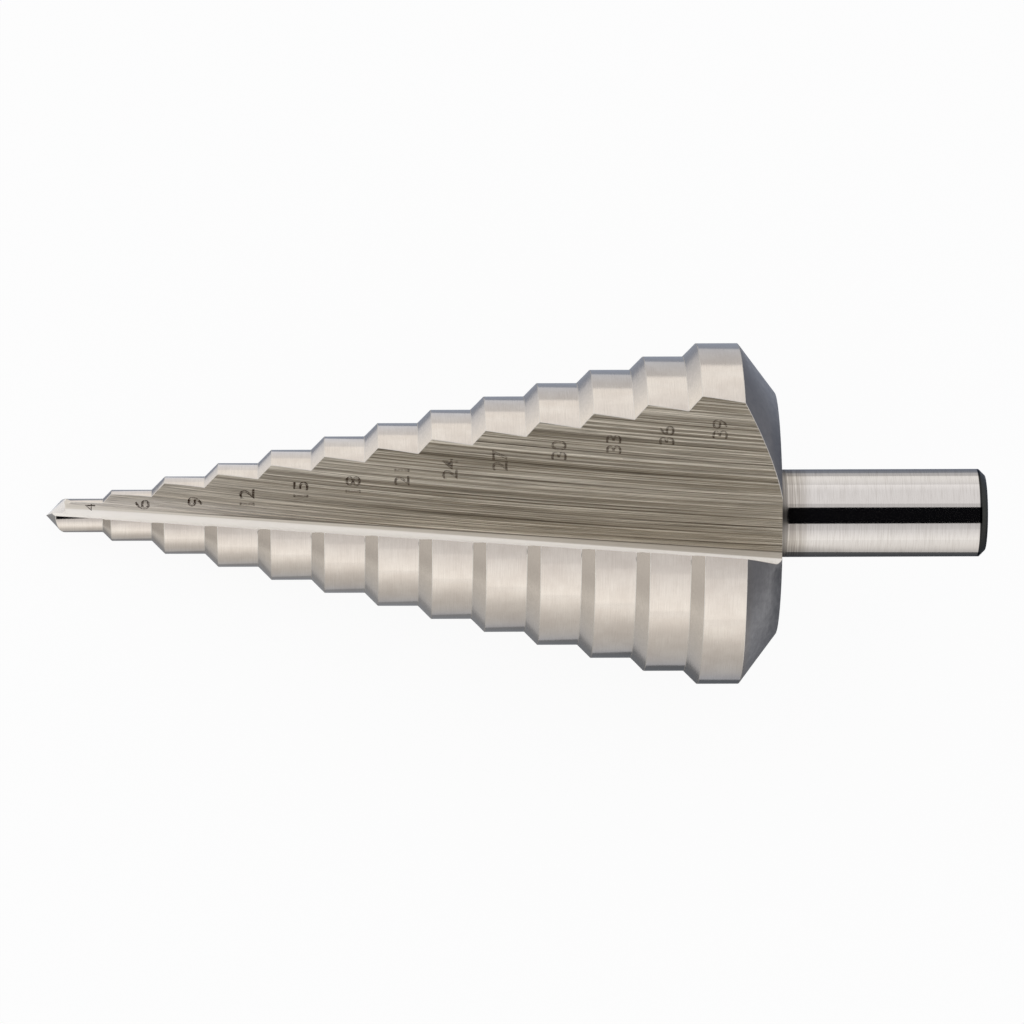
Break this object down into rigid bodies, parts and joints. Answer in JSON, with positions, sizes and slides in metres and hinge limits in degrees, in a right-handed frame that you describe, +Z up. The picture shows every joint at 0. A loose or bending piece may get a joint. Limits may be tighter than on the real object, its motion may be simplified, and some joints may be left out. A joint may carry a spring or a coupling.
{
  "type": "step drill",
  "caption": "Long conical step drill in bright steel with two straight tapered flutes, a sharp nose and a round shank, lying on its side with the nose down.",
  "frame": {"origin": "bottom centre of the drill's box as it lies on a table", "axes": "+Z up, +X along the drill from the nose to the shank as seen from above; the drill's own axis rises about 12 degrees towards the shank"},
  "size_m": [0.1054, 0.0388, 0.0349],
  "materials": {
    "ground_steel": "ground bright high speed steel, fine turned lines on the steps and lengthwise lines in the flutes"
  },
  "bodies": {
    "root": {"step_drill": "ground_steel"}
  },
  "joints": []
}
